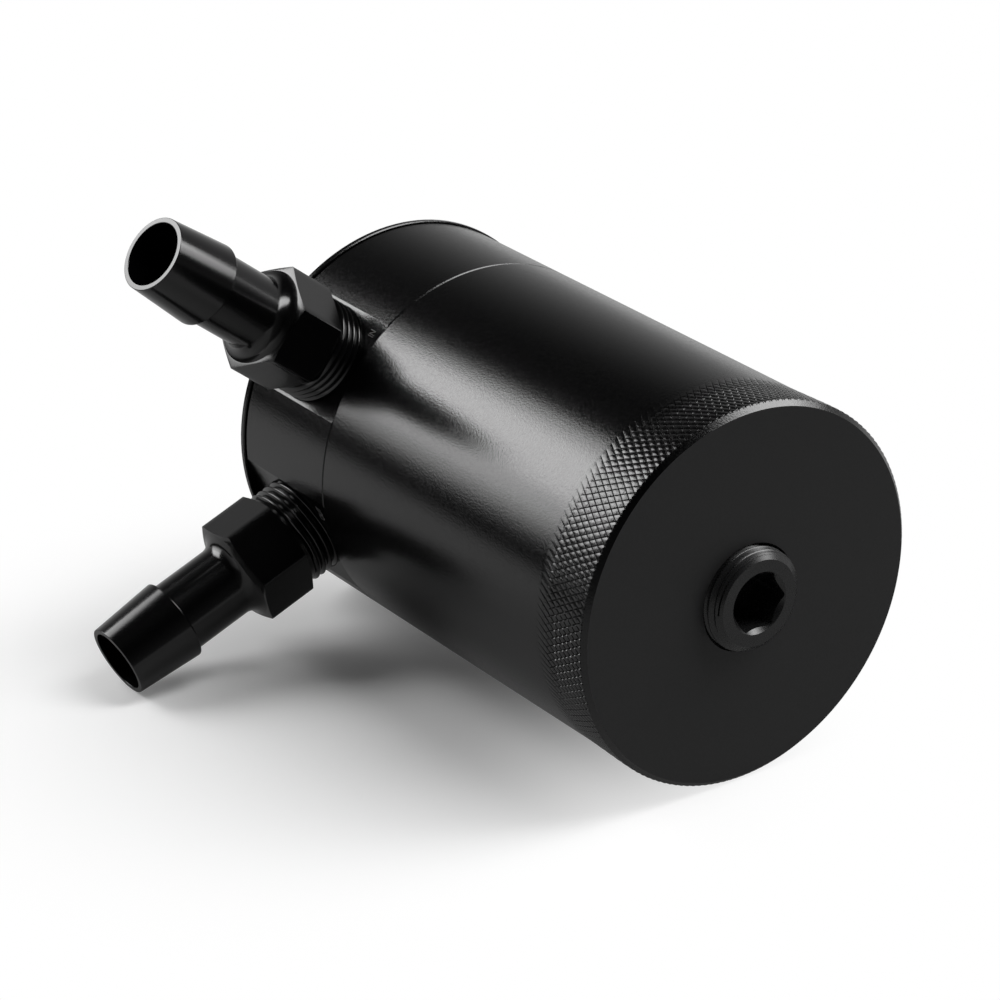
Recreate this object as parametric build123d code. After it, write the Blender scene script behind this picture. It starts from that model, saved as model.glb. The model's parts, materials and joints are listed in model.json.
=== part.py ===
from build123d import *

import os
from math import acos, atan2, ceil, cos, degrees, hypot, pi, radians, sin, tan

# Oil catch can, lying on its side as it comes to rest: on the lip of its lid,
# the foot of its cup and the tip of the outlet barb. All sizes are in millimetres.
# In the can's own frame the axis is X, the base face is at x = 0, the lid lies
# towards -X and the two ports look either side of -Y.

# Can body
can_radius = 31.2
cup_height = 70.0
lid_height = 24.2
cup_wall = 3.7
cup_floor = 11.0
floor_corner = 2.5
seam_gap = 0.1
seam_chamfer = 0.15

# Knurled foot of the cup, solid up to the crests of its fine knurl
knurl_proud = 0.3
knurl_length = 11.0
foot_chamfer = 0.85

# Lip round the top of the lid, set off by a fine groove
lip_proud = 0.3
lip_height = 1.0
lip_edge = 0.15
groove_width = 0.3
groove_depth = 0.35

# Skirt of the lid: a pilot land that fits the cup, then the root of the screw thread
thread_clearance = 0.05
thread_depth = 0.55
pilot_length = 2.0
skirt_length = 11.0
skirt_wall = 3.0
skirt_chamfer = 0.6

# Rubber ring in the rim of the cup
seal_width = 1.6
seal_depth = 1.2
seal_inset = 0.9
seal_clearance = 0.02

# Ports in the lid
port_rise = 11.3
port_half_angle = 30.0
port_flat_depth = 1.34
port_end_room = 1.0
passage_radius = 5.5
inlet_drop_radius = 5.0
inlet_drop_wall = 2.45

# Hose fittings
fitting_thread_radius = 8.57
fitting_engaged = 9.0
fitting_clearance = 0.05
thread_exposed = 5.1
hex_across_flats = 16.6
hex_length = 9.4
hex_chamfer_angle = 16.0
flare_inset = 0.8
flare_length = 2.4
tube_radius = 6.15
tube_length = 10.35
barb_radius = 7.05
barb_length = 11.77
barb_edge = 0.25
tip_radius = 6.19
bore_radius = 5.3
inlet_turn = 27.7
outlet_turn = 10.5

# Drain plug in the base
plug_radius = 8.5
plug_engaged = 8.0
plug_stand = 2.6
plug_nose = 1.1
plug_clearance = 0.05
plug_turn = 8.0
drain_countersink = 0.3
socket_across_flats = 9.5
socket_depth = 6.5
socket_mouth_step = 0.6
socket_mouth_depth = 0.5

# Bracket holes in the top of the lid
bracket_circle = 30.0
bracket_hole_radius = 2.5
bracket_hole_depth = 10.0
bracket_hole_count = 2

# Filter under the lid
nipple_radius = 6.0
nipple_engaged = 8.0
nipple_clearance = 0.05
nipple_hex = 17.0
nipple_hex_height = 5.0
nipple_bore_radius = 4.0
spigot_clearance = 0.05
spigot_length = 4.0
filter_radius = 9.5
filter_wall = 2.55
filter_length = 20.0
filter_edge = 1.0

# Baffle plate on its posts
baffle_gap = 1.2
baffle_thickness = 1.5
baffle_room = 5.0
post_hex = 6.0
post_inset = 7.3
post_count = 3
stud_radius = 1.5
stud_length = 5.5
stud_end_room = 0.5
screw_clearance = 0.05
screw_length = 6.0
screw_hole_radius = 1.7
screw_head_radius = 2.8
screw_head_height = 1.7
screw_socket = 2.0
screw_socket_depth = 1.0
drip_hole_radius = 1.8
drip_hole_pitch = 6.5
drip_ring_inset = 5.5
drip_ring_step = 6.5

# Places that follow from the sizes above
HEX_SIDES = 6
can_height = cup_height + lid_height
lip_radius = can_radius + lip_proud
knurl_radius = can_radius + knurl_proud
rest_radius = max(lip_radius, knurl_radius)
cup_bore_radius = can_radius - cup_wall
skirt_radius = cup_bore_radius - thread_clearance
skirt_bore_radius = skirt_radius - skirt_wall
inlet_drop_offset = skirt_bore_radius - inlet_drop_wall - inlet_drop_radius
shoulder_x = -cup_height - seam_gap / 2
rim_x = -cup_height + seam_gap / 2
top_x = -can_height
lip_under_x = top_x + lip_height
port_x = shoulder_x - port_rise
flat_distance = can_radius - port_flat_depth
hex_start = flat_distance + thread_exposed
hex_end = hex_start + hex_length
flare_end = hex_end + flare_length
barb_shoulder = flare_end + tube_length
barb_tip = barb_shoulder + barb_length
flare_radius = hex_across_flats / 2 - flare_inset
seal_inner_radius = cup_bore_radius + seal_inset
baffle_radius = cup_bore_radius - baffle_gap
post_circle_radius = baffle_radius - post_inset
baffle_top_x = shoulder_x + nipple_hex_height + filter_length + baffle_room
baffle_under_x = baffle_top_x + baffle_thickness
port_angles = {"inlet": 180.0 - port_half_angle, "outlet": 180.0 + port_half_angle}


def rest_location():
    """Lays the can on the floor, with the middle of its footprint box at the origin."""
    reach = hypot(barb_tip, tip_radius)
    outlet_from_down = degrees(atan2(tip_radius, barb_tip) + acos(rest_radius / reach))
    roll = outlet_from_down - (90.0 - port_half_angle)
    sides = []
    for angle in port_angles.values():
        tilt = radians(angle - roll)
        sides.append(barb_tip * abs(cos(tilt)) + tip_radius * abs(sin(tilt)))
    middle_x = (top_x + plug_stand) / 2
    middle_y = (rest_radius - max(sides)) / 2
    return Pos(-middle_x, -middle_y, rest_radius) * Rot(X=-roll)


def turned(*points):
    """A body turned about X from (x, radius) points."""
    return revolve(make_face(Polyline(*points, close=True)), Axis.X, 360)


def rod(start_x, end_x, radius):
    """A round bar along X."""
    return turned((start_x, 0), (end_x, 0), (end_x, radius), (start_x, radius))


def hex_bar(start_x, end_x, across_flats):
    """A hexagon bar along X with a corner towards +Y."""
    outline = Plane.YZ.offset(start_x) * RegularPolygon(across_flats / 2, HEX_SIDES, major_radius=False)
    return extrude(outline, end_x - start_x, dir=(1, 0, 0))


def chamfered_hex(start_x, end_x, across_flats, start_radius, end_radius, angle):
    """A hexagon bar whose ends are turned off to shallow cones outside two radii."""
    outer = across_flats
    slope = tan(radians(angle))
    envelope = turned(
        (start_x, 0),
        (start_x, start_radius),
        (start_x + slope * (outer - start_radius), outer),
        (end_x - slope * (outer - end_radius), outer),
        (end_x, end_radius),
        (end_x, 0),
    )
    return hex_bar(start_x, end_x, across_flats) & envelope


def port_frame(angle):
    """X runs out along a port from the can's axis."""
    return Pos(X=port_x) * Rot(X=angle) * Rot(Z=90)


def around_axis(angle, radius):
    """A place beside the can's axis, at an angle from +Y."""
    return Pos(0, radius * cos(radians(angle)), radius * sin(radians(angle)))


def post_angles():
    """Posts stand evenly round the axis, the first of them opposite the ports."""
    return [index * 360.0 / post_count for index in range(post_count)]


def make_lid():
    wall_start = lip_under_x + groove_width
    skirt_end = shoulder_x + skirt_length
    thread_root = skirt_radius - thread_depth
    body = turned(
        (top_x, 0),
        (top_x, lip_radius - lip_edge),
        (top_x + lip_edge, lip_radius),
        (lip_under_x - lip_edge, lip_radius),
        (lip_under_x, lip_radius - lip_edge),
        (lip_under_x, can_radius - groove_depth),
        (wall_start, can_radius - groove_depth),
        (wall_start, can_radius - lip_edge),
        (wall_start + lip_edge, can_radius),
        (shoulder_x - seam_chamfer, can_radius),
        (shoulder_x, can_radius - seam_chamfer),
        (shoulder_x, skirt_radius),
        (shoulder_x + pilot_length, skirt_radius),
        (shoulder_x + pilot_length, thread_root),
        (skirt_end - skirt_chamfer, thread_root),
        (skirt_end, thread_root - skirt_chamfer),
        (skirt_end, skirt_bore_radius),
        (shoulder_x, skirt_bore_radius),
        (shoulder_x, 0),
    )
    port_radius = fitting_thread_radius + fitting_clearance
    port_floor = flat_distance - fitting_engaged - port_end_room
    passage_ends = {"inlet": inlet_drop_offset, "outlet": 0}
    for name, angle in port_angles.items():
        frame = port_frame(angle)
        flat_height = shoulder_x - lip_under_x
        flat_middle = (shoulder_x + lip_under_x) / 2
        depth = lip_radius - flat_distance
        waste = Box(depth, flat_height, 2 * can_radius, align=(Align.MIN, Align.CENTER, Align.CENTER))
        body -= frame * Pos(flat_distance, port_x - flat_middle, 0) * waste
        body -= frame * rod(port_floor, can_radius, port_radius)
        body -= frame * rod(passage_ends[name], port_floor, passage_radius)
    inlet_drop = rod(port_x, shoulder_x, inlet_drop_radius)
    body -= around_axis(port_angles["inlet"], inlet_drop_offset) * inlet_drop
    body -= rod(port_x, shoulder_x, nipple_radius + nipple_clearance)
    for index in range(bracket_hole_count):
        angle = 90.0 + index * 360.0 / bracket_hole_count
        hole = rod(top_x, top_x + bracket_hole_depth, bracket_hole_radius)
        body -= around_axis(angle, bracket_circle / 2) * hole
    stud_hole = rod(shoulder_x - stud_length - stud_end_room, shoulder_x, stud_radius + screw_clearance)
    for angle in post_angles():
        body -= around_axis(angle, post_circle_radius) * stud_hole
    return body


def make_cup():
    body = turned(
        (0, 0),
        (0, knurl_radius - foot_chamfer),
        (-foot_chamfer, knurl_radius),
        (knurl_proud - knurl_length, knurl_radius),
        (-knurl_length, can_radius),
        (rim_x + seam_chamfer, can_radius),
        (rim_x, can_radius - seam_chamfer),
        (rim_x, cup_bore_radius),
        (-cup_floor - floor_corner, cup_bore_radius),
        (-cup_floor, cup_bore_radius - floor_corner),
        (-cup_floor, 0),
    )
    body -= turned(
        (rim_x, seal_inner_radius),
        (rim_x + seal_depth, seal_inner_radius),
        (rim_x + seal_depth, seal_inner_radius + seal_width),
        (rim_x, seal_inner_radius + seal_width),
    )
    drain_radius = plug_radius + plug_clearance
    body -= turned(
        (0, 0),
        (0, drain_radius + drain_countersink),
        (-drain_countersink, drain_radius),
        (-cup_floor, drain_radius),
        (-cup_floor, 0),
    )
    return body


def make_seal_ring():
    inner = seal_inner_radius + seal_clearance
    outer = seal_inner_radius + seal_width - seal_clearance
    return turned(
        (rim_x + seal_depth - seal_clearance, inner),
        (rim_x + seal_depth - seal_clearance, outer),
        (shoulder_x + seal_clearance, outer),
        (shoulder_x + seal_clearance, inner),
    )


def make_fitting(turn):
    """A hose fitting along X, with x measured from the can's axis."""
    engaged_end = flat_distance - fitting_engaged
    flare_step = flare_radius - tube_radius
    flare_arc_radius = (flare_length**2 + flare_step**2) / (2 * flare_step)
    flare_sweep = atan2(flare_length, flare_arc_radius - flare_step)
    flare_middle = (
        flare_end - flare_arc_radius * sin(flare_sweep / 2),
        tube_radius + flare_arc_radius * (1 - cos(flare_sweep / 2)),
    )
    outline = [
        Polyline(
            (hex_end, flare_radius),
            (hex_start, flare_radius),
            (hex_start, fitting_thread_radius),
            (engaged_end, fitting_thread_radius),
            (engaged_end, bore_radius),
            (barb_tip, bore_radius),
            (barb_tip, tip_radius),
            (barb_shoulder + barb_edge, barb_radius),
            (barb_shoulder, barb_radius - barb_edge),
            (barb_shoulder, tube_radius),
            (flare_end, tube_radius),
        ),
        ThreePointArc((flare_end, tube_radius), flare_middle, (hex_end, flare_radius)),
    ]
    body = revolve(make_face(outline), Axis.X, 360)
    nut = chamfered_hex(
        hex_start, hex_end, hex_across_flats, fitting_thread_radius, flare_radius, hex_chamfer_angle
    )
    body += nut - rod(hex_start, hex_end, bore_radius)
    return Rot(X=turn) * body


def make_drain_plug():
    body = turned(
        (-plug_engaged, 0),
        (-plug_engaged, plug_radius),
        (plug_stand - plug_nose, plug_radius),
        (plug_stand, plug_radius - plug_nose),
        (plug_stand, 0),
    )
    body -= hex_bar(plug_stand - socket_depth, plug_stand, socket_across_flats)
    mouth_radius = socket_across_flats / 2 + socket_mouth_step
    body -= rod(plug_stand - socket_mouth_depth, plug_stand, mouth_radius)
    return Rot(X=plug_turn) * body


def make_filter_base():
    hex_under_x = shoulder_x + nipple_hex_height
    spigot_radius = filter_radius - filter_wall - spigot_clearance
    body = hex_bar(shoulder_x, hex_under_x, nipple_hex)
    body += rod(shoulder_x - nipple_engaged, shoulder_x, nipple_radius)
    body += rod(hex_under_x, hex_under_x + spigot_length, spigot_radius)
    return body - rod(shoulder_x - nipple_engaged, hex_under_x + spigot_length, nipple_bore_radius)


def make_filter_element():
    start_x = shoulder_x + nipple_hex_height
    end_x = start_x + filter_length
    inner = filter_radius - filter_wall
    return turned(
        (start_x, inner),
        (start_x, filter_radius),
        (end_x - filter_edge, filter_radius),
        (end_x, filter_radius - filter_edge),
        (end_x, 0),
        (end_x - filter_wall, 0),
        (end_x - filter_wall, inner),
    )


def make_post():
    post = hex_bar(shoulder_x, baffle_top_x, post_hex)
    post += rod(shoulder_x - stud_length, shoulder_x, stud_radius)
    screw_hole = rod(baffle_top_x - screw_length - stud_end_room, baffle_top_x, stud_radius + screw_clearance)
    return post - screw_hole


def make_baffle_plate():
    plate = rod(baffle_top_x, baffle_under_x, baffle_radius)
    for angle in post_angles():
        plate -= around_axis(angle, post_circle_radius) * rod(baffle_top_x, baffle_under_x, screw_hole_radius)
    outer_ring = post_circle_radius - drip_ring_inset
    for ring in (outer_ring - drip_ring_step, outer_ring):
        count = ceil(2 * pi * ring / drip_hole_pitch)
        for index in range(count):
            place = around_axis(index * 360.0 / count, ring)
            plate -= place * rod(baffle_top_x, baffle_under_x, drip_hole_radius)
    return plate


def make_screw():
    head_end = baffle_under_x + screw_head_height
    screw = rod(baffle_under_x, head_end, screw_head_radius)
    screw += rod(baffle_under_x - baffle_thickness - screw_length, baffle_under_x, stud_radius)
    return screw - hex_bar(head_end - screw_socket_depth, head_end, screw_socket)


def make_nodes():
    """Every piece of the can, in the can's own frame."""
    nodes = {
        "lid": make_lid(),
        "cup": make_cup(),
        "seal_ring": make_seal_ring(),
        "inlet_barb": port_frame(port_angles["inlet"]) * make_fitting(inlet_turn),
        "outlet_barb": port_frame(port_angles["outlet"]) * make_fitting(outlet_turn),
        "drain_plug": make_drain_plug(),
        "filter_base": make_filter_base(),
        "filter_element": make_filter_element(),
        "baffle_plate": make_baffle_plate(),
    }
    places = [around_axis(angle, post_circle_radius) for angle in post_angles()]
    for index, place in enumerate(places):
        nodes[f"standoff_{index + 1}"] = place * make_post()
    nodes["baffle_screws"] = Compound(children=[place * make_screw() for place in places])
    return nodes


os.makedirs("parts", exist_ok=True)
rest = rest_location()
for name, solid in make_nodes().items():
    export_step(rest * solid, f"parts/{name}.step")
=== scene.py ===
"""Looks of the oil catch can: its finishes, knurl, threads and marks, with the studio and the camera."""
import json
from math import cos, floor, pi, radians, sin, sqrt, tan

import bmesh
import bpy
from mathutils import Matrix, Vector


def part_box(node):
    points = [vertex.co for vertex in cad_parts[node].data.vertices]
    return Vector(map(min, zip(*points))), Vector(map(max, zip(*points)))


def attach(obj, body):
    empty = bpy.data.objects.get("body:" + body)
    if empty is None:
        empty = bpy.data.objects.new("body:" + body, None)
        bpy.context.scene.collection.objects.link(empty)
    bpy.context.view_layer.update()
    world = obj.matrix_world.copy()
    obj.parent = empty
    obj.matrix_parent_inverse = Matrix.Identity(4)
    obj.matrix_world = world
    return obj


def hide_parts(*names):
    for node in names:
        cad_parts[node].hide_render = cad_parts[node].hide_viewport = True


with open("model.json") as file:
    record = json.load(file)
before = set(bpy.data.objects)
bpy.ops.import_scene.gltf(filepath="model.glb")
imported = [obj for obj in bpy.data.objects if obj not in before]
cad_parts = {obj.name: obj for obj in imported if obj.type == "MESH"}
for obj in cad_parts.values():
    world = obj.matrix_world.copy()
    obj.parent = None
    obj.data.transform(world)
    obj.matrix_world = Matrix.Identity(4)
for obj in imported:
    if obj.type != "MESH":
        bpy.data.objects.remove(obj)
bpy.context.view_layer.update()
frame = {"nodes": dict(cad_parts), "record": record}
mounts = {mount["name"]: mount for mount in frame["record"]["mounts"]}

# Lengths below are in millimetres, and angles in degrees
MM = 0.001
TURN = 2 * pi
SHARP_EDGE = radians(25)
TURNED_STEPS = 192
FITTING_STEPS = 96
ARC_STEPS = 5
FLARE_STEPS = 9
CORNER_HOLD = 1.4
CREST_STEPS = 6
CREST_ARC = radians(110)
THREAD_ROOT_SHARE = 0.98
THREAD_RUN_OUT = 0.5
THREAD_SINK = 0.02
HEX_SIDES = 6
HEX_CORNER_STEPS = 3
SAME_POINT = 0.001
SAME_CUT = 0.0005
SAME_STRIP = 0.002

# Cup, with x measured from its base face towards the drain
can_radius = 31.2
cup_height = 69.95
cup_bore_radius = 27.5
cup_floor = 11.0
floor_corner = 2.5
seam_gap = 0.1
seam_chamfer = 0.15
seam_round = 0.05
seal_groove = (28.4, 30.0)
seal_groove_depth = 1.2
drain_radius = 8.55
drain_countersink = 0.3

# Diamond knurl round the foot of the cup
knurl_radius = 31.498
knurl_starts = 158
knurl_lead = 2.13
knurl_depth = 0.22
knurl_groove_half = 0.1
knurl_edge_half = 0.42
knurl_edge_drop = 0.06
knurl_first_hand_end = (9.8, 12.0)
knurl_second_hand_end = (8.2, 10.6)
knurl_slit_share = 0.2
knurl_line_margin = 0.01
knurl_swell = (2.5, 11.4)
knurl_end = 12.2
foot_radius = 30.65
foot_land_radius = 31.08
base_depth = 0.01
base_level = 0.99

# Hose fittings, with x measured out from the can's axis
fitting_inner_end = 20.86
flat_distance = 29.86
hex_start = 34.96
hex_end = 44.36
hex_across_flats = 16.6
hex_corner_round = 0.2
hex_chamfer_angle = 16.0
hex_under_radius = 8.1
hex_overlap = 0.5
hex_flat_cuts = 9
fitting_thread_radius = 8.57
fitting_thread_depth = 0.62
fitting_thread_pitch = 1.25
fitting_thread_crest = 0.2
fitting_thread_share = 0.8
fitting_thread_gap = 0.2
shank_round = 0.3
flare_radius = 8.05
flare_length = 2.4
tube_radius = 6.15
barb_shoulder = 57.11
barb_radius = 7.05
barb_tip = 68.88
tip_radius = 6.19
bore_radius = 5.3
shoulder_round = 0.15
barb_round = 0.22
tip_round = 0.12
fitting_turns = {"inlet": 27.7, "outlet": 10.5}

# Drain plug, with x measured from the base face of the cup
plug_radius = 8.5
plug_engaged = 8.0
plug_stand = 2.6
plug_nose = 1.4
plug_nose_length = 0.7
plug_nose_radius = 8.0
plug_nose_back = 0.2
plug_thread_depth = 0.75
plug_thread_pitch = 1.2
plug_thread_crest = 0.2
socket_across_flats = 8.9
socket_depth = 6.5
socket_mouth_radius = 5.15
socket_corner_round = 0.45
socket_flat_cuts = 7

# Thread on the skirt of the lid, with x measured from the lid's shoulder
skirt_root_radius = 26.9
skirt_thread_radius = 27.42
skirt_thread_pitch = 1.5
skirt_thread_run = (2.4, 10.0)
skirt_thread_crest = 0.15

# Marks on the flats of the lid: distance from the cup's rim, and across the flat
mark_height = 1.5
mark_height_share = 0.73
mark_rise = 2.45
mark_sideways = {"IN": 6.65, "OUT": 6.2}
mark_width_share = 0.62
mark_proud = 0.012

# Finishes: sizes of their unevenness, and how far the gloss strays from its mean
noise_middle = (0.3, 0.7)
speckle_size = 0.45
metal_patch = 1.2
metal_stray = 0.2
rubber_colour = (0.012, 0.012, 0.012)
rubber_patch = 0.8
rubber_gloss = (0.55, 0.7)
rubber_grain = (0.25, 0.01)

# Camera
camera_azimuth = 54.194
camera_elevation = 24.93
camera_distance = 603.4
camera_aim = (-4.615, 7.227, 31.5)
camera_lens = 135.76
camera_clip = (0.01, 20.0)

# Studio, in metres: softboxes by their facing, the place of their middle, their size and radiance
side_facing = (-27.4, 170.0, 0.9)
back_facing = (-11.8, 20.9, -1.6)
lamps = {
    "side_softbox_wide": (side_facing, (-0.273, -0.1607, 0.2474), (0.21, 0.346), 1.7),
    "side_softbox_middle": (side_facing, (-0.2714, -0.1541, 0.2635), (0.21, 0.312), 1.88),
    "side_softbox_core": (side_facing, (-0.2694, -0.1536, 0.2468), (0.21, 0.163), 2.41),
    "back_softbox_wide": (back_facing, (0.1754, 0.1595, 0.5077), (0.256, 0.756), 2.98),
    "back_softbox_core": (back_facing, (0.1141, 0.1061, 0.5888), (0.213, 0.863), 3.63),
}
backdrop_grades = ((0.0, 0.48), (0.12, 0.39), (0.21, 0.33), (0.38, 0.19), (0.53, 0.08), (0.63, 0.01))
backdrop_fall = (0.3, 0.55)
backdrop_dark_side = 0.12
floor_width = 12.0
floor_roughness = 0.9
floor_white = (1.0, 1.0, 1.0)
# Painted glow that lifts the floor's shadows for the camera
floor_painted_glow = 0.045
# Floor seen in reflections and bounce light: grey, with painted shade darkening it towards +X
floor_painted_shade_run = (-0.1, 0.07)
floor_painted_shade_greys = (0.42, 0.13)
floor_in_gloss = 0.05
# Far floor in reflections: a painted glow, with painted shade dimming it towards +X
far_floor_painted_run = (-0.05, 0.2)
far_floor_painted_glows = (0.64, 0.08)
far_floor_centre = (0.0, -0.15)
far_floor_from = (0.2, 0.42)
# For the camera, painted white glow covers the floor's shadow, from none near this centre to all of it
# further off
shadow_centre = (-0.014, -0.016)
floor_painted_white_run = (0.018, 0.086)
# Painted glow on the floor in reflections, brighter towards +X
floor_painted_reflection_run = (-0.03, 0.03)
floor_painted_reflection_glows = (0.03, 0.1)
flag_azimuth = 222.6
flag_distance = 0.38
flag_height = 0.062
flag_width = 0.5
flag_colour = (0.02, 0.02, 0.02)
flag_weave = 4.0
flag_gloss = (0.85, 1.0)

# Places taken from the frame
base_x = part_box("cup")[1].x
axis_place = Vector(mounts["bracket_holes"]["pos_m"])
base_place = Vector((base_x, axis_place.y, axis_place.z))
shoulder_place = base_place - Vector(((cup_height + seam_gap) * MM, 0, 0))


# Modelling tools

def set_in(origin, along=Vector((1, 0, 0)), up=Vector((0, 0, 1))):
    """A frame in millimetres whose X runs along a direction."""
    x_axis = along.normalized()
    y_axis = up.cross(x_axis).normalized()
    z_axis = x_axis.cross(y_axis)
    turn = Matrix((x_axis, y_axis, z_axis)).transposed().to_4x4()
    return Matrix.Translation(origin) @ turn @ Matrix.Scale(MM, 4)


def port_frame(side):
    """X runs out along a port from the can's axis, and Y towards the lid's top."""
    bore = mounts[f"{side}_bore"]
    out = Vector(bore["axis"])
    origin = Vector((bore["pos_m"][0], axis_place.y, axis_place.z))
    return set_in(origin, out, out.cross(Vector((-1, 0, 0))))


def rounded(corners):
    """Points of an outline whose corners are (x, radius) or (x, radius, rounding)."""
    points = []
    for index, corner in enumerate(corners):
        here = Vector(corner[:2])
        if len(corner) == 2:
            points.append(here)
            continue
        before = (Vector(corners[index - 1][:2]) - here).normalized()
        after = (Vector(corners[(index + 1) % len(corners)][:2]) - here).normalized()
        half_angle = before.angle(after) / 2
        middle = here + (before + after).normalized() * (corner[2] / sin(half_angle))
        reach = corner[2] / tan(half_angle)
        start, end = here + before * reach - middle, here + after * reach - middle
        points.append(here + before * reach * CORNER_HOLD)
        for step in range(ARC_STEPS + 1):
            points.append(middle + start.slerp(end, step / ARC_STEPS) * corner[2])
        points.append(here + after * reach * CORNER_HOLD)
    return points


def turned(points, steps, closed=True):
    """A body turned about X from its outline."""
    bm = bmesh.new()
    verts = [bm.verts.new((x, 0, radius)) for x, radius in points]
    pairs = list(zip(verts, verts[1:] + verts[:1])) if closed else list(zip(verts, verts[1:]))
    edges = [bm.edges.new(pair) for pair in pairs]
    bmesh.ops.spin(
        bm, geom=verts + edges, cent=(0, 0, 0), axis=(1, 0, 0), angle=TURN, steps=steps, use_merge=True
    )
    bmesh.ops.remove_doubles(bm, verts=bm.verts, dist=SAME_POINT)
    bmesh.ops.recalc_face_normals(bm, faces=bm.faces)
    return bm


def screw_ridge(
    start_x, end_x, root_radius, crest_radius, pitch, steps, crest_round, root_share=THREAD_ROOT_SHARE
):
    """A right-hand thread ridge about X, its crest rounded from flank to flank."""
    bm = bmesh.new()
    half_root = pitch * root_share / 2
    section = [(start_x - half_root, root_radius)]
    for step in range(CREST_STEPS + 1):
        lean = CREST_ARC * (step / CREST_STEPS - 0.5)
        drop = crest_round * (1 - cos(lean))
        section.append((start_x + crest_round * sin(lean), crest_radius - drop))
    section.append((start_x + half_root, root_radius))
    face = bm.faces.new([bm.verts.new((x, 0, radius)) for x, radius in section])
    turns = (end_x - start_x) / pitch
    count = round(turns * steps)
    geom = list(bm.verts) + list(bm.edges) + [face]
    bmesh.ops.spin(
        bm, geom=geom, cent=(0, 0, 0), axis=(1, 0, 0), dvec=(pitch / steps, 0, 0),
        angle=TURN * count / steps, steps=count,
    )
    for vert in bm.verts:
        radius = vert.co.yz.length
        from_ends = min(vert.co.x - start_x, end_x - vert.co.x) / (pitch * THREAD_RUN_OUT)
        fade = min(1.0, max(0.0, from_ends))
        vert.co.yz *= (root_radius + (radius - root_radius) * fade) / radius
    bmesh.ops.recalc_face_normals(bm, faces=bm.faces)
    return bm


def hexagon(across_flats, corner_round, cuts):
    """A hexagon ring in the YZ plane with a corner towards +Y, its flats divided evenly."""
    bm = bmesh.new()
    bmesh.ops.create_circle(bm, cap_ends=False, radius=across_flats / sqrt(3), segments=HEX_SIDES)
    if corner_round:
        bmesh.ops.bevel(
            bm, geom=list(bm.verts), offset=corner_round, offset_type="OFFSET",
            segments=HEX_CORNER_STEPS, profile=0.5, affect="VERTICES", material=-1,
        )
    flats = [edge for edge in bm.edges if edge.calc_length() > across_flats / 4]
    bmesh.ops.subdivide_edges(bm, edges=flats, cuts=cuts)
    bm.transform(Matrix(((0, 0, 1, 0), (0, 1, 0, 0), (-1, 0, 0, 0), (0, 0, 0, 1))))
    return bm


def open_edges(geom):
    """The open edges of what an operator has made."""
    return [item for item in geom if isinstance(item, bmesh.types.BMEdge) and len(item.link_faces) == 1]


def verts_in(geom):
    """The points of what an operator has made."""
    return [item for item in geom if isinstance(item, bmesh.types.BMVert)]


def grow_ring(bm, ring, x, radius):
    """Draws a ring of edges on to a circle, and gives the new ring."""
    grown = bmesh.ops.extrude_edge_only(bm, edges=ring)["geom"]
    for vert in verts_in(grown):
        scale = radius / vert.co.yz.length
        vert.co = (x, vert.co.y * scale, vert.co.z * scale)
    return open_edges(grown)


def whole_mesh(bm):
    """Every point, edge and face of a mesh."""
    return list(bm.verts) + list(bm.edges) + list(bm.faces)


def join(*parts):
    """One mesh of several, each closed in itself."""
    whole = parts[0]
    for part in parts[1:]:
        carrier = bpy.data.meshes.new("carrier")
        part.to_mesh(carrier)
        part.free()
        whole.from_mesh(carrier)
        bpy.data.meshes.remove(carrier)
    return whole


def place_piece(name, bm, place, body, materials, stands_for=()):
    """Sets a mesh in its place on a body, smooth but for its sharp edges."""
    bm.transform(place)
    for face in bm.faces:
        face.smooth = True
    for edge in bm.edges:
        edge.smooth = len(edge.link_faces) == 2 and edge.calc_face_angle() < SHARP_EDGE
    mesh = bpy.data.meshes.new(name)
    bm.to_mesh(mesh)
    bm.free()
    for material in materials:
        mesh.materials.append(material)
    piece = bpy.data.objects.new(name, mesh)
    bpy.context.scene.collection.objects.link(piece)
    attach(piece, body)
    if stands_for:
        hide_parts(*stands_for)
    return piece


# Finishes

def new_finish(name):
    """A material, its node maker and its shader."""
    material = bpy.data.materials.new(name)
    material.use_nodes = True
    tree = material.node_tree
    shader = tree.nodes["Principled BSDF"]
    return material, tree, shader


def noise(tree, size, detail=2.0):
    """Noise on the piece's own coordinates, with grains of a size in millimetres."""
    place = tree.nodes.new("ShaderNodeTexCoord")
    grain = tree.nodes.new("ShaderNodeTexNoise")
    grain.inputs["Scale"].default_value = 1 / (size * MM)
    grain.inputs["Detail"].default_value = detail
    tree.links.new(place.outputs["Object"], grain.inputs["Vector"])
    return grain.outputs["Fac"]


def spread(tree, value, low, high):
    """Maps the middle of a noise to a range."""
    ramp = tree.nodes.new("ShaderNodeMapRange")
    ramp.inputs["From Min"].default_value = noise_middle[0]
    ramp.inputs["From Max"].default_value = noise_middle[1]
    ramp.inputs["To Min"].default_value = low
    ramp.inputs["To Max"].default_value = high
    tree.links.new(value, ramp.inputs["Value"])
    return ramp.outputs["Result"]


def ease(tree, value, run, levels):
    """Passes smoothly from one level to another along a run of values."""
    ramp = tree.nodes.new("ShaderNodeMapRange")
    ramp.interpolation_type = "SMOOTHSTEP"
    ramp.inputs["From Min"].default_value = run[0]
    ramp.inputs["From Max"].default_value = run[1]
    ramp.inputs["To Min"].default_value = levels[0]
    ramp.inputs["To Max"].default_value = levels[1]
    tree.links.new(value, ramp.inputs["Value"])
    return ramp.outputs["Result"]


def roughen(tree, shader, height, depth):
    """Raises the surface by a height map, with the depth in millimetres."""
    bump = tree.nodes.new("ShaderNodeBump")
    bump.inputs["Strength"].default_value = 1.0
    bump.inputs["Distance"].default_value = depth * MM
    tree.links.new(height, bump.inputs["Height"])
    tree.links.new(bump.outputs["Normal"], shader.inputs["Normal"])


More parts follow.
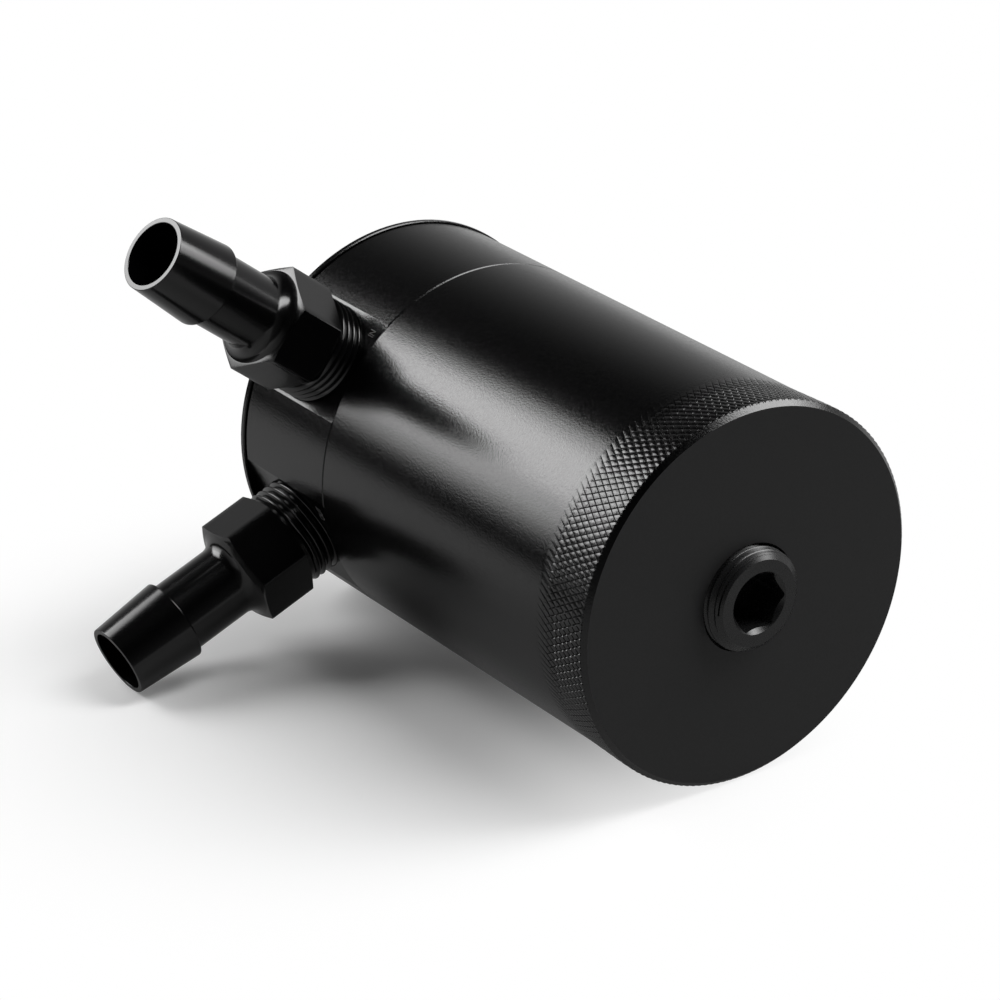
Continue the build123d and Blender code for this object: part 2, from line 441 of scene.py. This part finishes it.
def anodised(name, colour, rough, grain_size, grain_depth, speckle=0.06, index=1.65):
    """Dyed anodic coat: black underneath, a clear hard skin with a blasted grain and a speckled gloss."""
    material, tree, shader = new_finish(name)
    shader.inputs["Base Color"].default_value = (*colour, 1)
    shader.inputs["IOR"].default_value = index
    gloss = spread(tree, noise(tree, speckle_size), rough * (1 - speckle), rough * (1 + speckle))
    tree.links.new(gloss, shader.inputs["Roughness"])
    roughen(tree, shader, noise(tree, grain_size), grain_depth)
    return material


def bare_metal(name, colour, rough, grain_size, grain_depth):
    """Uncoated metal with a little unevenness."""
    material, tree, shader = new_finish(name)
    shader.inputs["Base Color"].default_value = (*colour, 1)
    shader.inputs["Metallic"].default_value = 1.0
    gloss = spread(tree, noise(tree, metal_patch), rough * (1 - metal_stray), rough * (1 + metal_stray))
    tree.links.new(gloss, shader.inputs["Roughness"])
    roughen(tree, shader, noise(tree, grain_size), grain_depth)
    return material


def moulded_rubber(name):
    """Matt rubber with the grain of its mould."""
    material, tree, shader = new_finish(name)
    grain_size, grain_depth = rubber_grain
    shader.inputs["Base Color"].default_value = (*rubber_colour, 1)
    tree.links.new(spread(tree, noise(tree, rubber_patch), *rubber_gloss), shader.inputs["Roughness"])
    roughen(tree, shader, noise(tree, grain_size), grain_depth)
    return material


can_black = anodised(
    "can_black", (0.0013, 0.0013, 0.0014), rough=0.19, grain_size=0.3, grain_depth=0.022, speckle=0.2
)
base_black = anodised(
    "base_black", (0.0095, 0.0095, 0.0098), rough=0.5, grain_size=0.2, grain_depth=0.004
)
fitting_black = anodised(
    "fitting_black", (0.0018, 0.0018, 0.002), rough=0.16, grain_size=0.5, grain_depth=0.001
)
plug_black = anodised(
    "plug_black", (0.01, 0.01, 0.0105), rough=0.27, grain_size=0.3, grain_depth=0.003
)
rubber_black = moulded_rubber("rubber_black")
brass = bare_metal("brass", (0.72, 0.5, 0.2), rough=0.3, grain_size=0.4, grain_depth=0.002)
sintered_bronze = bare_metal(
    "sintered_bronze", (0.45, 0.28, 0.14), rough=0.5, grain_size=0.28, grain_depth=0.09
)
sheet_aluminium = bare_metal(
    "sheet_aluminium", (0.75, 0.76, 0.77), rough=0.38, grain_size=0.3, grain_depth=0.002
)
zinc_plate = bare_metal(
    "zinc_plate", (0.6, 0.61, 0.64), rough=0.33, grain_size=0.3, grain_depth=0.002
)
marking_grey = anodised(
    "marking_grey", (0.16, 0.16, 0.16), rough=0.6, grain_size=0.15, grain_depth=0.003
)

node_finishes = {
    "lid": can_black,
    "seal_ring": rubber_black,
    "filter_base": brass,
    "filter_element": sintered_bronze,
    "baffle_plate": sheet_aluminium,
    "standoff_1": zinc_plate,
    "standoff_2": zinc_plate,
    "standoff_3": zinc_plate,
    "baffle_screws": zinc_plate,
}
for node, finish in node_finishes.items():
    for material_slot in frame["nodes"][node].material_slots:
        material_slot.material = finish


# Cup

def cup_shell():
    """The turned cup, open where the knurl is laid round its foot."""
    rim = -cup_height
    groove_floor = rim + seal_groove_depth
    outline = rounded([
        (-knurl_end, can_radius),
        (rim + seam_chamfer, can_radius, seam_round),
        (rim, can_radius - seam_chamfer, seam_round),
        (rim, seal_groove[1]),
        (groove_floor, seal_groove[1]),
        (groove_floor, seal_groove[0]),
        (rim, seal_groove[0]),
        (rim, cup_bore_radius),
        (-cup_floor - floor_corner, cup_bore_radius),
        (-cup_floor, cup_bore_radius - floor_corner),
        (-cup_floor, drain_radius),
        (-drain_countersink, drain_radius),
        (0, drain_radius + drain_countersink),
        (0, foot_radius),
        (foot_radius - foot_land_radius, foot_land_radius),
    ])
    return turned(outline, TURNED_STEPS, closed=False)


def groove_fade(rise, run_out):
    """How much of a groove is left at a height above the base."""
    start, end = run_out
    return min(1.0, max(0.0, (end - rise) / (end - start)))


def groove_share(phase):
    """1 at the bottom of a groove and 0 on the land, with a rounded edge between."""
    away = abs(phase - round(phase))
    if away <= knurl_groove_half:
        return 1.0 - (1.0 - knurl_edge_drop / knurl_depth) * away / knurl_groove_half
    if away < knurl_edge_half:
        from_edge = (knurl_edge_half - away) / (knurl_edge_half - knurl_groove_half)
        return knurl_edge_drop / knurl_depth * from_edge
    return 0.0


def cut_strip(bm, place, across, **options):
    """Cuts the knurl's strip along a line."""
    return bmesh.ops.bisect_plane(
        bm, geom=whole_mesh(bm), dist=SAME_CUT, plane_co=place, plane_no=across, **options
    )


def knurl_strip():
    """One pitch of the knurl, laid flat: X round the foot, Y up from the base, Z the radius."""
    pitch = TURN * knurl_radius / knurl_starts
    bm = bmesh.new()
    corners = ((0, 0), (pitch, 0), (pitch, knurl_end), (0, knurl_end))
    bm.faces.new([bm.verts.new((x, y, knurl_radius)) for x, y in corners])
    offsets = (-knurl_edge_half, -knurl_groove_half, 0, knurl_groove_half, knurl_edge_half)
    lines = floor(knurl_end / knurl_lead) + 2
    for hand in (1, -1):
        across = Vector((1 / pitch, hand / knurl_lead, 0))
        for line in range(-lines, lines + 2):
            for offset in offsets:
                cut_strip(bm, across * ((line + offset) / across.length_squared), across)
    for run_out in (*knurl_first_hand_end, *knurl_second_hand_end):
        cut_strip(bm, (0, run_out, 0), (0, 1, 0))
    for vert in bm.verts:
        x, rise = vert.co.x / pitch, vert.co.y / knurl_lead
        slit = groove_fade(vert.co.y, knurl_first_hand_end)
        first = groove_share(x + rise) * slit
        second = groove_share(x - rise) * groove_fade(vert.co.y, knurl_second_hand_end)
        swell = groove_fade(vert.co.y, knurl_swell)
        crest = can_radius + (knurl_radius - can_radius) * swell
        vert.co.z = crest - knurl_depth * max(first, second)
        beside = x + rise - round(x + rise)
        if abs(beside) < knurl_edge_half + knurl_line_margin:
            vert.co.x -= beside * pitch * (1 - max(slit, knurl_slit_share))
    cut = cut_strip(bm, (0, 0, foot_radius), (0, -1, 1), clear_outer=True)
    scallops = [item for item in cut["geom_cut"] if isinstance(item, bmesh.types.BMEdge)]
    skirt = bmesh.ops.extrude_edge_only(bm, edges=scallops)["geom"]
    for vert in verts_in(skirt):
        vert.co.y = foot_land_radius - foot_radius
        vert.co.z = foot_land_radius
    return bm, pitch


def cup_knurl():
    """The strip rolled round the foot and repeated for every start."""
    bm, pitch = knurl_strip()
    for vert in bm.verts:
        around = TURN * vert.co.x / (pitch * knurl_starts)
        rise, radius = vert.co.y, vert.co.z
        vert.co = (-rise, radius * cos(around), radius * sin(around))
    copies = knurl_starts - 1
    bmesh.ops.spin(
        bm, geom=whole_mesh(bm), cent=(0, 0, 0), axis=(1, 0, 0),
        angle=TURN * copies / knurl_starts, steps=copies, use_duplicate=True,
    )
    bmesh.ops.remove_doubles(bm, verts=bm.verts, dist=SAME_STRIP)
    bmesh.ops.recalc_face_normals(bm, faces=bm.faces)
    return bm


shell = cup_shell()
for base_face in shell.faces:
    if base_face.normal.x > base_level and base_face.calc_center_median().x > -base_depth:
        base_face.material_index = 1
cup_finishes = [can_black, base_black]
place_piece(
    "cup_body", join(shell, cup_knurl()), set_in(base_place), "cup", cup_finishes, ["cup"]
)


# Hose fittings

def chamfered_end(radius, inner_radius):
    """How far a hexagon's chamfer has drawn an edge back at a radius."""
    return max(0.0, radius - inner_radius) * tan(radians(hex_chamfer_angle))


def fitting_nut(turn):
    """The hexagon, its ends turned off to cones."""
    bm = hexagon(hex_across_flats, hex_corner_round, hex_flat_cuts)
    near = list(bm.edges)
    for vert in bm.verts:
        vert.co.x = hex_start + chamfered_end(vert.co.yz.length, hex_under_radius)
    sides = bmesh.ops.extrude_edge_only(bm, edges=near)["geom"]
    far = open_edges(sides)
    for vert in verts_in(sides):
        vert.co.x = hex_end - chamfered_end(vert.co.yz.length, flare_radius)
    for ring, end_x, inner_radius in ((near, hex_start, hex_under_radius), (far, hex_end, flare_radius)):
        for radius in (inner_radius, tube_radius):
            ring = grow_ring(bm, ring, end_x, radius)
    bmesh.ops.recalc_face_normals(bm, faces=bm.faces)
    bm.transform(Matrix.Rotation(radians(turn), 4, "X"))
    return bm


def fitting_tube():
    """Threaded shank, flare, tube and barb in one turned outline, with the bore inside."""
    core_radius = fitting_thread_radius - fitting_thread_depth
    flare_end = hex_end + flare_length
    step = flare_radius - tube_radius
    flare_arc = (flare_length**2 + step**2) / (2 * step)
    flare = []
    for index in range(1, FLARE_STEPS):
        along = flare_length * index / FLARE_STEPS
        back = flare_length - along
        flare.append((hex_end + along, tube_radius + flare_arc - sqrt(flare_arc**2 - back**2)))
    outline = rounded([
        (fitting_inner_end, bore_radius),
        (fitting_inner_end, core_radius, shank_round),
        (hex_start + hex_overlap, core_radius),
        (hex_start + hex_overlap, flare_radius),
        (hex_end, flare_radius),
        *flare,
        (flare_end, tube_radius),
        (barb_shoulder, tube_radius, shoulder_round),
        (barb_shoulder, barb_radius, barb_round),
        (barb_tip, tip_radius, tip_round),
        (barb_tip, bore_radius, tip_round),
    ])
    return turned(outline, FITTING_STEPS)


def hose_fitting(side):
    """A whole fitting, set in its port."""
    ridge = screw_ridge(
        fitting_inner_end + fitting_thread_pitch, hex_start - fitting_thread_gap,
        fitting_thread_radius - fitting_thread_depth - THREAD_SINK, fitting_thread_radius,
        fitting_thread_pitch, FITTING_STEPS // 2, fitting_thread_crest, fitting_thread_share,
    )
    body = join(fitting_tube(), fitting_nut(fitting_turns[side]), ridge)
    finishes, stands_for = [fitting_black], [f"{side}_barb"]
    place_piece(f"{side}_fitting", body, port_frame(side), "lid", finishes, stands_for)


for port_side in fitting_turns:
    hose_fitting(port_side)


# Drain plug

def plug_socket():
    """Front face, countersunk mouth and hexagon socket of the plug."""
    bm = hexagon(socket_across_flats, socket_corner_round, socket_flat_cuts)
    floor_x = plug_stand - socket_depth
    hex_ring = list(bm.edges)
    for vert in bm.verts:
        vert.co.x = plug_stand - (socket_mouth_radius - vert.co.yz.length)
    deep = bmesh.ops.extrude_edge_only(bm, edges=hex_ring)["geom"]
    for vert in verts_in(deep):
        vert.co.x = floor_x
    bmesh.ops.contextual_create(bm, geom=open_edges(deep))
    ring = hex_ring
    for x, radius in (
        (plug_stand, socket_mouth_radius),
        (plug_stand, plug_radius - plug_nose),
        (plug_stand - plug_nose_length, plug_nose_radius),
        (plug_stand - plug_nose_length - plug_nose_back, plug_radius - plug_thread_depth),
        (-plug_engaged, plug_radius - plug_thread_depth),
    ):
        ring = grow_ring(bm, ring, x, radius)
    bmesh.ops.contextual_create(bm, geom=ring)
    bmesh.ops.recalc_face_normals(bm, faces=bm.faces)
    return bm


plug_ridge = screw_ridge(
    -plug_engaged + plug_thread_pitch, plug_stand - plug_nose_length,
    plug_radius - plug_thread_depth - THREAD_SINK, plug_radius,
    plug_thread_pitch, FITTING_STEPS // 2, plug_thread_crest,
)
plug = join(plug_socket(), plug_ridge)
place_piece("plug_body", plug, set_in(base_place), "plug", [plug_black], ["drain_plug"])


# Lid details

skirt_ridge = screw_ridge(
    *skirt_thread_run, skirt_root_radius - THREAD_SINK, skirt_thread_radius,
    skirt_thread_pitch, TURNED_STEPS // 2, skirt_thread_crest,
)
place_piece("lid_thread", skirt_ridge, set_in(shoulder_place), "lid", [can_black])


def flat_mark(word, side):
    """A short word on a flat, its top towards the lid's top."""
    curve = bpy.data.curves.new(f"{word}_letters", "FONT")
    curve.body = word
    curve.align_x = "CENTER"
    curve.align_y = "CENTER"
    curve.size = mark_height / mark_height_share
    carrier = bpy.data.objects.new(f"{word}_letters", curve)
    bpy.context.scene.collection.objects.link(carrier)
    bpy.context.view_layer.update()
    shown = carrier.evaluated_get(bpy.context.evaluated_depsgraph_get())
    letters = bpy.data.meshes.new_from_object(shown)
    bpy.data.objects.remove(carrier)
    bm = bmesh.new()
    bm.from_mesh(letters)
    bpy.data.meshes.remove(letters)
    port = port_frame(side)
    rise = (shoulder_place.x - port.translation.x) / MM - mark_rise
    upright = Matrix((
        (0, 0, 1, flat_distance + mark_proud),
        (0, 1, 0, -rise),
        (-1, 0, 0, -mark_sideways[word]),
        (0, 0, 0, 1),
    ))
    narrow = Matrix.Diagonal((mark_width_share, 1, 1, 1))
    place_piece(f"mark_{word}", bm, port @ upright @ narrow, "lid", [marking_grey])


flat_mark("IN", "inlet")
flat_mark("OUT", "outlet")


# Studio

def distance_from(tree, place, centre):
    """How far a place on the floor lies from a centre."""
    offset = tree.nodes.new("ShaderNodeMapping")
    offset.inputs["Location"].default_value = (-centre[0], -centre[1], 0)
    distance = tree.nodes.new("ShaderNodeVectorMath")
    distance.operation = "LENGTH"
    tree.links.new(place, offset.inputs["Vector"])
    tree.links.new(offset.outputs["Vector"], distance.inputs[0])
    return distance.outputs["Value"]


def floor_finish():
    """Floor that takes the can's shadow and goes to plain white further off, with painted light and shade:
    grey in reflections and bounce light, darker towards +X; painted glows that lift its shadows and
    brighten it in reflections; and a white glow that paints over the shadow further from the can.
    """
    material, tree, shader = new_finish("studio_floor")
    shader.inputs["Roughness"].default_value = floor_roughness
    shader.inputs["Specular IOR Level"].default_value = 0.0
    shader.inputs["Emission Color"].default_value = (1, 1, 1, 1)
    path = tree.nodes.new("ShaderNodeLightPath")
    place = tree.nodes.new("ShaderNodeTexCoord")
    split = tree.nodes.new("ShaderNodeSeparateXYZ")
    tree.links.new(place.outputs["Object"], split.inputs["Vector"])
    seen = tree.nodes.new("ShaderNodeMath")
    seen.operation = "MULTIPLY_ADD"
    seen.inputs[1].default_value = floor_in_gloss
    tree.links.new(path.outputs["Is Glossy Ray"], seen.inputs[0])
    tree.links.new(path.outputs["Is Camera Ray"], seen.inputs[2])
    paint = tree.nodes.new("ShaderNodeMix")
    paint.data_type = "RGBA"
    paint.inputs["B"].default_value = (*floor_white, 1)
    # Grey of the floor in reflections and bounce light, with painted shade darker towards +X; the camera
    # sees it white
    tree.links.new(ease(tree, split.outputs["X"], floor_painted_shade_run, floor_painted_shade_greys), paint.inputs["A"])
    tree.links.new(seen.outputs["Value"], paint.inputs["Factor"])
    tree.links.new(paint.outputs["Result"], shader.inputs["Base Color"])
    # Painted glow on the floor as seen in reflections, brighter towards +X
    painted_reflection_glow = tree.nodes.new("ShaderNodeMath")
    painted_reflection_glow.operation = "MULTIPLY"
    tree.links.new(path.outputs["Is Glossy Ray"], painted_reflection_glow.inputs[0])
    tree.links.new(ease(tree, split.outputs["X"], floor_painted_reflection_run, floor_painted_reflection_glows), painted_reflection_glow.inputs[1])
    # Painted glow: lifts the floor's shadows for the camera, and adds light to the floor in reflections
    painted_glow_strength = tree.nodes.new("ShaderNodeMath")
    painted_glow_strength.operation = "MULTIPLY_ADD"
    painted_glow_strength.inputs[1].default_value = floor_painted_glow
    tree.links.new(path.outputs["Is Camera Ray"], painted_glow_strength.inputs[0])
    tree.links.new(painted_reflection_glow.outputs["Value"], painted_glow_strength.inputs[2])
    tree.links.new(painted_glow_strength.outputs["Value"], shader.inputs["Emission Strength"])
    # Glow of the far floor: plain white for the camera; in reflections a painted glow with painted shade
    # towards +X
    glow = tree.nodes.new("ShaderNodeEmission")
    level = tree.nodes.new("ShaderNodeMix")
    level.inputs["B"].default_value = 1.0
    tree.links.new(path.outputs["Is Camera Ray"], level.inputs["Factor"])
    tree.links.new(ease(tree, split.outputs["X"], far_floor_painted_run, far_floor_painted_glows), level.inputs["A"])
    tree.links.new(level.outputs["Result"], glow.inputs["Strength"])
    far_off = distance_from(tree, place.outputs["Object"], far_floor_centre)
    from_shadow = distance_from(tree, place.outputs["Object"], shadow_centre)
    # For the camera, painted white glow covers the can's shadow further from the shadow centre; in
    # reflections the far floor's glow takes over further off
    reach = tree.nodes.new("ShaderNodeMix")
    tree.links.new(path.outputs["Is Camera Ray"], reach.inputs["Factor"])
    tree.links.new(ease(tree, far_off, far_floor_from, (0, 1)), reach.inputs["A"])
    tree.links.new(ease(tree, from_shadow, floor_painted_white_run, (0, 1)), reach.inputs["B"])
    mix = tree.nodes.new("ShaderNodeMixShader")
    tree.links.new(reach.outputs["Result"], mix.inputs[0])
    tree.links.new(shader.outputs["BSDF"], mix.inputs[1])
    tree.links.new(glow.outputs["Emission"], mix.inputs[2])
    tree.links.new(mix.outputs["Shader"], tree.nodes["Material Output"].inputs["Surface"])
    return material


def stage_sheet(name, width, height, place, finish):
    """A flat sheet of the studio, not part of the can."""
    bm = bmesh.new()
    bmesh.ops.create_grid(bm, x_segments=1, y_segments=1, size=0.5)
    bm.transform(place @ Matrix.Diagonal((width, height, 1, 1)))
    mesh = bpy.data.meshes.new(name)
    bm.to_mesh(mesh)
    bm.free()
    mesh.materials.append(finish)
    sheet = bpy.data.objects.new(name, mesh)
    bpy.context.scene.collection.objects.link(sheet)
    return sheet


def flag_finish():
    """Black cloth of the flag that stands below the side softbox."""
    material, tree, shader = new_finish("flag_black")
    shader.inputs["Base Color"].default_value = (*flag_colour, 1)
    shader.inputs["Specular IOR Level"].default_value = 0.0
    tree.links.new(spread(tree, noise(tree, flag_weave), *flag_gloss), shader.inputs["Roughness"])
    return material


def studio_flag():
    """A low dark card on the floor, which darkens the horizon on the side of the side softbox."""
    azimuth = Matrix.Rotation(radians(flag_azimuth), 4, "Z")
    upright = Matrix.Translation((flag_distance, 0, flag_height / 2)) @ Matrix.Rotation(radians(90), 4, "Y")
    card = stage_sheet("studio_flag", flag_height, flag_width, azimuth @ upright, flag_finish())
    card.visible_camera = False


def softbox(name, facing, middle, size, radiance):
    """A soft lamp, its back leant along the can, turned about it and rolled in its own plane."""
    lean, turn, roll = (radians(angle) for angle in facing)
    away = Vector((sin(lean), cos(lean) * cos(turn), cos(lean) * sin(turn)))
    around = Vector((0, -sin(turn), cos(turn)))
    upright = Matrix((around.cross(away), around, away)).transposed()
    lamp = bpy.data.lights.new(name, "AREA")
    lamp.shape = "RECTANGLE"
    lamp.size, lamp.size_y = size
    lamp.energy = radiance * pi * size[0] * size[1]
    holder = bpy.data.objects.new(name, lamp)
    holder.location = middle
    holder.rotation_euler = (Matrix.Rotation(roll, 3, away) @ upright).to_euler()
    holder.visible_camera = False
    bpy.context.scene.collection.objects.link(holder)


def studio_world():
    """A backdrop, plain white to the eye. In the can it is pale low down, dark overhead and on one side."""
    world = bpy.data.worlds.new("studio")
    bpy.context.scene.world = world
    world.use_nodes = True
    tree = world.node_tree
    place = tree.nodes.new("ShaderNodeTexCoord")
    split = tree.nodes.new("ShaderNodeSeparateXYZ")
    ramp = tree.nodes.new("ShaderNodeValToRGB")
    stops = ramp.color_ramp.elements
    stops.remove(stops[1])
    for index, (height, level) in enumerate(backdrop_grades):
        stop = stops.new(height) if index else stops[0]
        stop.position = height
        stop.color = (level, level, level, 1)
    tree.links.new(place.outputs["Generated"], split.inputs["Vector"])
    tree.links.new(split.outputs["Z"], ramp.inputs["Fac"])
    path = tree.nodes.new("ShaderNodeLightPath")
    colour = tree.nodes.new("ShaderNodeMix")
    colour.data_type = "RGBA"
    colour.inputs["B"].default_value = (*floor_white, 1)
    strength = tree.nodes.new("ShaderNodeMix")
    strength.inputs["B"].default_value = 1.0
    open_side = ease(tree, split.outputs["X"], backdrop_fall, (1.0, backdrop_dark_side))
    tree.links.new(path.outputs["Is Camera Ray"], colour.inputs["Factor"])
    tree.links.new(path.outputs["Is Camera Ray"], strength.inputs["Factor"])
    tree.links.new(ramp.outputs["Color"], colour.inputs["A"])
    tree.links.new(open_side, strength.inputs["A"])
    tree.links.new(colour.outputs["Result"], tree.nodes["Background"].inputs["Color"])
    tree.links.new(strength.outputs["Result"], tree.nodes["Background"].inputs["Strength"])


def studio_camera():
    """The camera at the photo's angle."""
    lens = bpy.data.cameras.new("camera")
    lens.lens = camera_lens
    lens.clip_start, lens.clip_end = camera_clip
    camera = bpy.data.objects.new("camera", lens)
    azimuth, elevation = radians(camera_azimuth), radians(camera_elevation)
    back = Vector((sin(azimuth) * cos(elevation), -cos(azimuth) * cos(elevation), sin(elevation)))
    camera.location = (Vector(camera_aim) + back * camera_distance) * MM
    camera.rotation_euler = back.to_track_quat("Z", "Y").to_euler()
    bpy.context.scene.collection.objects.link(camera)
    bpy.context.scene.camera = camera


stage_sheet("studio_floor", floor_width, floor_width, Matrix(), floor_finish())
studio_flag()
studio_world()
for lamp_name, lamp_values in lamps.items():
    softbox(lamp_name, *lamp_values)
studio_camera()

scene = bpy.context.scene
scene.view_settings.view_transform = "Standard"
